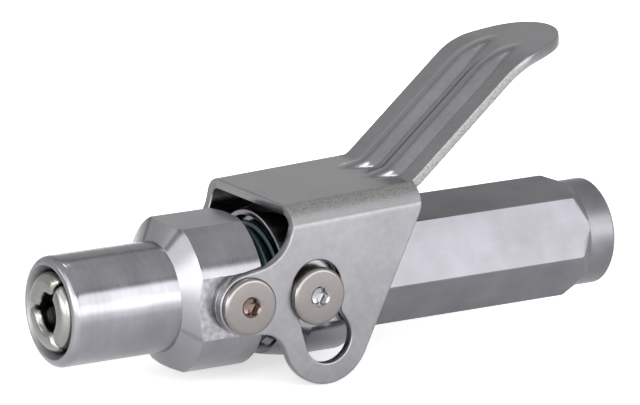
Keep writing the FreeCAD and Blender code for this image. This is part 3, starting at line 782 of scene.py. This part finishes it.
def facing(spots):
    """Unit vector square to the pressed face: the cross product of its two small steps."""
    ahead = pressed(spots + [SMALL_STEP, 0]) - pressed(spots - [SMALL_STEP, 0])
    beside = pressed(spots + [0, SMALL_STEP]) - pressed(spots - [0, SMALL_STEP])
    square = np.cross(ahead, beside)
    return square / np.linalg.norm(square, axis=1, keepdims=True)


def inside(spots, loop):
    """Whether spots lie inside a loop: a ray to the right crosses it an odd number of times. No ray
    crosses a level side, so any rise does for it."""
    ends = np.roll(loop, -1, axis=0)
    beside = (loop[:, 1] > spots[:, 1:]) != (ends[:, 1] > spots[:, 1:])
    rise = ends[:, 1] - loop[:, 1]
    slope = (ends[:, 0] - loop[:, 0]) / np.where(rise == 0, 1.0, rise)
    crossing = loop[:, 0] + (spots[:, 1:] - loop[:, 1]) * slope
    return (beside & (spots[:, :1] < crossing)).sum(axis=1) % 2 == 1


def turning(loop):
    """Twice the area in a loop, positive where it runs anticlockwise: the sum of (u w' - w u')."""
    ahead = np.roll(loop, -1, axis=0)
    return np.sum(loop[:, 0] * ahead[:, 1] - loop[:, 1] * ahead[:, 0])


# The blank's outline: each ear's belt, and the handle's side with the arcs that round its tip.
ear_edge = laid_flat(belt([
    (PLATE_REAR, 16.0, 0.0, 1),
    (PLATE_FRONT, 16.0, 0.0, 1),
    (1.25, 11.15, 6.3, -1),
    (0.0, 0.0, 4.45, 1),
    (2.4, -8.6, 3.9, -1),
    (13.2, -6.5, 6.9, 1),
    (24.94, 11.3, 4.0, 1),
]))
side_turn = np.linspace(math.pi / 2, TIP_JOIN, 20)
tip_turn = np.linspace(TIP_JOIN, 0, 40)[1:]
tip_along = np.concatenate([
    SIDE_START + SIDE_RADIUS * np.cos(side_turn),
    TIP_CENTRE + TIP_RADIUS * np.cos(tip_turn),
])
tip_across = np.concatenate([
    HANDLE_HALF - SIDE_RADIUS * (1 - np.sin(side_turn)),
    TIP_RADIUS * np.sin(tip_turn),
])
tip_reach = (line_u - TIP_CORNER[0]) * math.cos(TIP_SLOPE)
tip_reach = tip_reach + (line_w - TIP_CORNER[1]) * math.sin(TIP_SLOPE)
tip_edge = np.stack([np.interp(tip_along, tip_reach, run), tip_across], axis=1)
handle_root = [(PLATE_REAR, HANDLE_HALF + 0.3), (PLATE_REAR + 0.3, HANDLE_HALF)]
half_edge = np.concatenate([ear_edge, handle_root, tip_edge])
blank_edge = np.concatenate([half_edge * [1, -1], half_edge[-2::-1], half_edge[:1] * [1, -1]])
blank_edge = spaced(blank_edge, EDGE_STEP)[:-1]
slot_edge = laid_flat(belt([
    (11.35, 1.1, 4.0, 1),
    (13.3, -6.55, 3.78, 1),
    (16.05, -2.7, 0.6, -1),
], SLOT_ARC_STEP))
slot_edge = spaced(np.concatenate([slot_edge, slot_edge[:1]]), SLOT_STEP)[:-1]
hole_turn = np.linspace(0, math.tau, 61)[:-1]
hole_edge = laid_flat(np.stack([PIVOT_HOLE * np.cos(hole_turn), PIVOT_HOLE * np.sin(hole_turn)], axis=1))
edges = [blank_edge, slot_edge, slot_edge * [1, -1], hole_edge, hole_edge * [1, -1]]
edges = [edge if (turning(edge) > 0) == (index == 0) else edge[::-1] for index, edge in enumerate(edges)]
rim = np.concatenate(edges)

# Points inside the outline: close together on plate and handle, further apart on the flat ears.
handle_rows = np.arange(-38, 39) * HANDLE_GRID[1]
handle_spots = np.meshgrid(np.arange(PLATE_FRONT, TIP_END, HANDLE_GRID[0]), handle_rows)
ear_rows = np.concatenate([np.arange(-34, -15), np.arange(16, 35)]) * EAR_GRID[1]
ear_spots = np.meshgrid(np.arange(-5.0, PLATE_REAR, EAR_GRID[0]), ear_rows)
inner = np.concatenate([np.stack([p.ravel(), v.ravel()], axis=1) for p, v in (handle_spots, ear_spots)])
keep = np.array([np.hypot(*(rim - spot).T).min() for spot in inner]) > CLEARANCE
keep &= inside(inner, edges[0])
for edge in edges[1:]:
    keep &= ~inside(inner, edge)
inner = inner[keep]

starts = np.cumsum([0] + [len(edge) for edge in edges])
rings = [
    (start + index, start + (index + 1) % len(edge))
    for start, edge in zip(starts, edges)
    for index in range(len(edge))
]
flat = [Vector(spot) for spot in np.concatenate([rim, inner])]
laid_spots, _, laid_faces = delaunay_2d_cdt(flat, rings, [], 0, 1e-7)[:3]
blank = np.array([tuple(spot) for spot in laid_spots])
corners = np.array([tuple(face) for face in laid_faces])
middles = blank[corners].mean(axis=1)
used = inside(middles, edges[0])
for edge in edges[1:]:
    used &= ~inside(middles, edge)
skin = corners[used]

# Both faces of the sheet, held back from the outline, and the cut edge between them with its two
# quarter rounds: going down the edge, (out, down) are (r sin a - r, r - r cos a) at the upper one.
upper = pressed(blank)
rim_top = pressed(rim)
rim_up = facing(rim)
travel = np.concatenate([
    pressed(np.roll(edge, -1, axis=0)) - pressed(np.roll(edge, 1, axis=0)) for edge in edges
])
outward = np.cross(travel, rim_up)
outward /= np.linalg.norm(outward, axis=1, keepdims=True)
upper[:len(rim)] -= HOLD * outward
lower = upper - SHEET * facing(blank)
quarter = np.linspace(0, math.pi / 2, 5)
rim_out = np.concatenate([[-HOLD], EDGE * (np.sin(quarter) - 1), EDGE * (np.cos(quarter) - 1), [-HOLD]])
upper_round = EDGE * (1 - np.cos(quarter))
lower_round = SHEET - EDGE * (1 - np.sin(quarter))
rim_down = np.concatenate([[0], upper_round, lower_round, [SHEET]])
cut = rim_top + rim_out[:, None, None] * outward - rim_down[:, None, None] * rim_up
count = len(blank)
first, second = np.array(rings).T
levels = np.arange(len(rim_out))[:, None] * len(rim) + 2 * count
cut_faces = np.stack([
    levels[:-1] + first,
    levels[:-1] + second,
    levels[1:] + second,
    levels[1:] + first,
], axis=-1)
faces = skin.tolist() + (skin[:, ::-1] + count).tolist() + cut_faces.reshape(-1, 4).tolist()
sheet_points = np.concatenate([upper, lower, cut.reshape(-1, 3)]) + [PIVOT_X, 0, CROSS_HEIGHT]

# The zinc is cloudy on the flats, and stretched and speckled on the side bends and cut edges; the side
# bends are also darker towards their top, which is painted shade.
nodes = Nodes(bpy.data.materials.new("zinc_plated_sheet"))
speckle = nodes.noise((1100.0, 1100.0, 1100.0), 3.0)
cloud = nodes.noise((130.0, 130.0, 130.0), 4.0)
stretched = nodes.noise((2600.0, 3800.0, 3800.0), 3.0)
across = abs(nodes.axis(1))
on_bend = nodes.window(across, (FLAT_HALF, FLAT_HALF + 0.4), (EAR_FACE - 0.08, EAR_FACE - 0.02))
on_bend = on_bend * nodes.band(nodes.axis(2), *BEND_FOOT)
# Painted shade: the upper part of each side bend takes the darker tone fully, fading towards the ear.
shaded_bend_top = on_bend * nodes.band(across, *BEND_SIDE, 1.0, 0.2)
on_ear = nodes.band(across, *EAR_SIDE)
cut_rise = (HANDLE_HALF - 0.07, HANDLE_HALF - 0.01)
cut_fall = (HANDLE_HALF + 0.01, HANDLE_HALF + 0.05)
on_cut = nodes.window(across, cut_rise, cut_fall)
patches = nodes.band(cloud * 0.6 + speckle * 0.4, 0.35, 0.65)
sheet_tone = nodes.tint(patches, (0.21, 0.208, 0.218, 1), (0.255, 0.253, 0.265, 1))
grains = nodes.band(stretched, 0.38, 0.54)
# A darker stretched grain: the dull finish of the bends and the bare cut edges, and on the bends painted
# shade.
dull_and_shaded_tone = nodes.tint(grains, (0.18, 0.175, 0.167, 1), (0.262, 0.258, 0.252, 1))
rough = 0.2 + on_bend * 0.35 + on_cut * 0.2 + on_ear * 0.15
zinc_sheet = nodes.close({
    "Base Color": nodes.tint(nodes.math("MAXIMUM", shaded_bend_top, on_cut), sheet_tone, dull_and_shaded_tone),
    "Metallic": 1.0,
    "Roughness": rough + (cloud - 0.5) * 0.1 + (speckle - 0.5) * 0.06,
    "Normal": nodes.relief(speckle, 0.000003),
})
lever = shell("ribbed_sheet_lever", sheet_points, faces, "lever", zinc_sheet, 50.0)
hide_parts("lever")

# Socket screws.
# Stainless screws with a flat head, a rolled rim and a hexagonal socket: two pivot screws with a
# shoulder in the sleeve's side flats, and two guide screws in those of the body.
PIVOT_HEAD = (12.45, 13.55)
GUIDE_HEAD = (12.5, 13.6)
HEAD_RADIUS = 4.2
HEAD_RIM = 0.6
HEAD_ROUGHNESS = 0.24
SHANK_RADIUS = 1.95
SHOULDER_RADIUS = 2.6
SOCKET_FLAT = 1.25
SOCKET_DEPTH = 1.5
SOCKET_MOUTH = 1.55
SOCKET_BLEND = 0.94
SOCKET_LEAD = 0.8
SOCKET_TAPER = 0.97
SOCKET_POINT = 0.3


def stainless(name, station, inside_shade, inside_rough):
    """Satin stainless steel that changes, nearer to the screw's axis than the socket's mouth, to the
    tone and the gloss of the broached socket."""
    nodes = Nodes(bpy.data.materials.new(name))
    grain = nodes.noise((1500.0, 1500.0, 1500.0), 3.0)
    aside = nodes.axis(0) - station
    above = nodes.axis(2) - CROSS_HEIGHT
    distance = nodes.math("SQRT", aside * aside + above * above)
    socket = nodes.band(distance, SOCKET_MOUTH * SOCKET_BLEND, SOCKET_MOUTH, 1.0, 0.0)
    outer = nodes.tint(grain, (0.19, 0.178, 0.172, 1), (0.225, 0.21, 0.206, 1))
    return nodes.close({
        "Base Color": nodes.tint(socket, outer, inside_shade + (1.0,)),
        "Metallic": 1.0,
        "Roughness": HEAD_ROUGHNESS + (grain - 0.5) * 0.08 + socket * (inside_rough - HEAD_ROUGHNESS),
        "Normal": nodes.relief(grain, 0.000002),
    })


def socket_screw(station, shank, seat, top):
    """A screw on the cross axis and its mirror image: turned shank and head, and at angle a the
    socket's wall is at its flat's distance / cos(a from the middle of the flat)."""
    head = [(seat, HEAD_RADIUS, 0.12), (top, HEAD_RADIUS, HEAD_RIM), (top, SOCKET_MOUTH, 0)]
    height, radius = columns(rounded(shank + head, 10))
    angle = np.linspace(0, math.tau, 97)
    level = 0 * angle
    wall = SOCKET_FLAT / np.cos(angle % (math.pi / 3) - math.pi / 6)
    lead = top - (SOCKET_MOUTH - wall) * SOCKET_LEAD
    bottom = top - SOCKET_DEPTH
    heights = np.concatenate([height + level, [lead, bottom + level, bottom - SOCKET_POINT + level]])
    radii = np.concatenate([radius + level, [wall, wall * SOCKET_TAPER, level]])
    return on_cross_axis(station, (heights, radii), angle)


pivot_shank = [
    (7.39, 0.0, 0),
    (7.39, SHANK_RADIUS, 0.3),
    (WASHER_START, SHANK_RADIUS, 0),
    (WASHER_START, SHOULDER_RADIUS, 0),
    (PIVOT_HEAD[0], SHOULDER_RADIUS, 0),
]
guide_shank = [
    (5.59, 0.0, 0),
    (5.59, SHANK_RADIUS, 0.3),
    (GUIDE_HEAD[0], SHANK_RADIUS, 0),
]
pivot_grids = socket_screw(PIVOT_X, pivot_shank, *PIVOT_HEAD)
guide_grids = socket_screw(GUIDE_X, guide_shank, *GUIDE_HEAD)
pivot_steel = stainless("stained_stainless", PIVOT_X, (0.15, 0.112, 0.1), 0.14)
guide_steel = stainless("clean_stainless", GUIDE_X, (0.3, 0.3, 0.31), 0.1)
for name, grids, body, finish, node in (
        ("pivot_socket_screws", pivot_grids, "sleeve", pivot_steel, "pivot_screws"),
        ("guide_socket_screws", guide_grids, "body", guide_steel, "guide_screws")):
    screws = build(name, grids, body, finish, 30.0)
    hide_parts(node)

# Floor, surround and lamps.
# A pale floor just under the ears, a white surround and three large softboxes. Low lamps light the
# floor that the metal reflects, and small ones give the light on the sleeve's cone and the glints.
FLOOR_HEIGHT = -0.0134
FLOOR_REACH = 6.0
SOFTBOX_DISTANCE = 0.5
SOFTBOX_WIDTH = 0.47
SOFTBOX_BOTTOM = -0.014
DULL_LEVEL = 0.6
floor_corners = [(-1, -1), (1, -1), (1, 1), (-1, 1)]
floor_points = [(x * FLOOR_REACH, y * FLOOR_REACH, FLOOR_HEIGHT) for x, y in floor_corners]
floor_mesh = bpy.data.meshes.new("floor")
floor_mesh.from_pydata(floor_points, [], [(0, 1, 2, 3)])
floor = bpy.data.objects.new("floor", floor_mesh)
bpy.context.scene.collection.objects.link(floor)
pale = Nodes(bpy.data.materials.new("pale_floor"))
shown = pale.node("ShaderNodeLightPath", output="Is Camera Ray") * 0.32 + 0.14
lift = pale.node("ShaderNodeCombineColor", {}, {"Red": shown, "Green": shown, "Blue": shown})
floor_mesh.materials.append(pale.close({
    "Base Color": (0.95, 0.95, 0.95, 1),
    "Roughness": 0.9,
    "Specular IOR Level": 0.0,
    "Emission Color": lift,
    "Emission Strength": 1.0,
}))

world = bpy.data.worlds.new("studio")
bpy.context.scene.world = world
sky = Nodes(world)
direction = sky.node("ShaderNodeTexCoord", output="Generated")
height = sky.node("ShaderNodeSeparateXYZ", {}, {"Vector": direction}, output=2)
camera_ray = sky.node("ShaderNodeLightPath", output="Is Camera Ray")
glossy_ray = sky.node("ShaderNodeLightPath", output="Is Glossy Ray")
glossy_ray = glossy_ray + sky.node("ShaderNodeLightPath", output="Is Transmission Ray")
behind = sky.band(sky.dot(direction, (0.45, 0.88, 0.15)), 0.4, 0.93, 0.98, 0.66)
over = sky.band(sky.dot(direction, (-0.45, 0.15, 0.88)), 0.72, 0.97, 0.0, 0.08)
seam = sky.band(abs(height - 0.66), 0.015, 0.035, 0.5, 0.0)
level = DULL_LEVEL + camera_ray * (1.0 - DULL_LEVEL) + glossy_ray * (behind + over - seam - DULL_LEVEL)
dome = sky.node("ShaderNodeBackground", {}, {"Color": (1, 1, 1, 1), "Strength": level})
sky.node("ShaderNodeOutputWorld", {}, {"Surface": dome})


def standing(right, away, place):
    """Placement of a lamp or camera: its X axis to the right, its Z axis away from what it faces."""
    placement = np.eye(4)
    placement[:3] = np.stack([right, np.cross(away, right), away, place], axis=1)
    return Matrix(placement.tolist())


def soft_lamp(name, place, azimuth, elevation, width, height, glow):
    """Rectangular lamp at a place, with glow as its radiance, that shines from azimuth and elevation."""
    lamp = bpy.data.lights.new(name, "AREA")
    lamp.shape = "RECTANGLE"
    lamp.size = width
    lamp.size_y = height
    lamp.energy = glow * math.pi * width * height
    holder = bpy.data.objects.new(name, lamp)
    side, up = math.radians(azimuth), math.radians(elevation)
    away = np.array([math.sin(side) * math.cos(up), -math.cos(side) * math.cos(up), math.sin(up)])
    holder.matrix_world = standing([math.cos(side), math.sin(side), 0.0], away, place)
    bpy.context.scene.collection.objects.link(holder)


for name, azimuth, height, glow in (
        ("right_softbox", 28, 0.39, 2.75),
        ("middle_softbox", -25, 0.39, 2.75),
        ("left_softbox", -79, 0.23, 3.3)):
    side = math.radians(azimuth)
    place = (
        SOFTBOX_DISTANCE * math.sin(side) - 0.05,
        -SOFTBOX_DISTANCE * math.cos(side),
        SOFTBOX_BOTTOM + height / 2,
    )
    soft_lamp(name, place, azimuth, 0, SOFTBOX_WIDTH, height, glow)
for name, place, azimuth, elevation, width, height, glow in (
        ("front_table_lamp", (-0.05, -0.2, 0.02), 0, 90, 0.4, 0.28, 1.12),
        ("side_table_lamp", (-0.2, -0.06, 0.02), 0, 90, 0.2, 0.12, 1.7),
        ("back_table_lamp", (0.1, 0.2, 0.02), 0, 90, 0.3, 0.2, 1.2),
        ("back_left_softbox", (-0.435, 0.19, 0.2), -113.5, 22, 0.165, 0.12, 1.9),
        ("high_softbox", (0.062, 0.183, 0.415), 152, 62.6, 0.07, 0.07, 6.0)):
    soft_lamp(name, place, azimuth, elevation, width, height, glow)

# Camera.
# It stands to the left front, 14 degrees above the coupler, with a long lens.
CAMERA_AZIMUTH = 30.88
CAMERA_ELEVATION = 14.21
CAMERA_ROLL = -0.22
CAMERA_PLACE = (-0.41408, -0.61545, 0.18656)
CAMERA_FOCUS = 5109.1
IMAGE_WIDTH = 640
IMAGE_HEIGHT = 405
AXIS_PIXEL = (322.88, 237.0)
SENSOR_WIDTH = 36.0
side, up, roll = (math.radians(angle) for angle in (CAMERA_AZIMUTH, CAMERA_ELEVATION, CAMERA_ROLL))
away = np.array([-math.sin(side) * math.cos(up), -math.cos(side) * math.cos(up), math.sin(up)])
level_right = np.cross(-away, [0, 0, 1])
level_right /= np.linalg.norm(level_right)
level_up = np.cross(level_right, -away)
right = math.cos(roll) * level_right + math.sin(roll) * level_up
lens = bpy.data.cameras.new("camera")
lens.sensor_fit = "HORIZONTAL"
lens.sensor_width = SENSOR_WIDTH
lens.lens = CAMERA_FOCUS * SENSOR_WIDTH / IMAGE_WIDTH
lens.shift_x = (IMAGE_WIDTH / 2 - AXIS_PIXEL[0]) / IMAGE_WIDTH
lens.shift_y = (AXIS_PIXEL[1] - IMAGE_HEIGHT / 2) / IMAGE_WIDTH
camera = bpy.data.objects.new("camera", lens)
camera.matrix_world = standing(right, away, CAMERA_PLACE)
bpy.context.scene.collection.objects.link(camera)
bpy.context.scene.camera = camera
bpy.context.scene.view_settings.view_transform = "Standard"
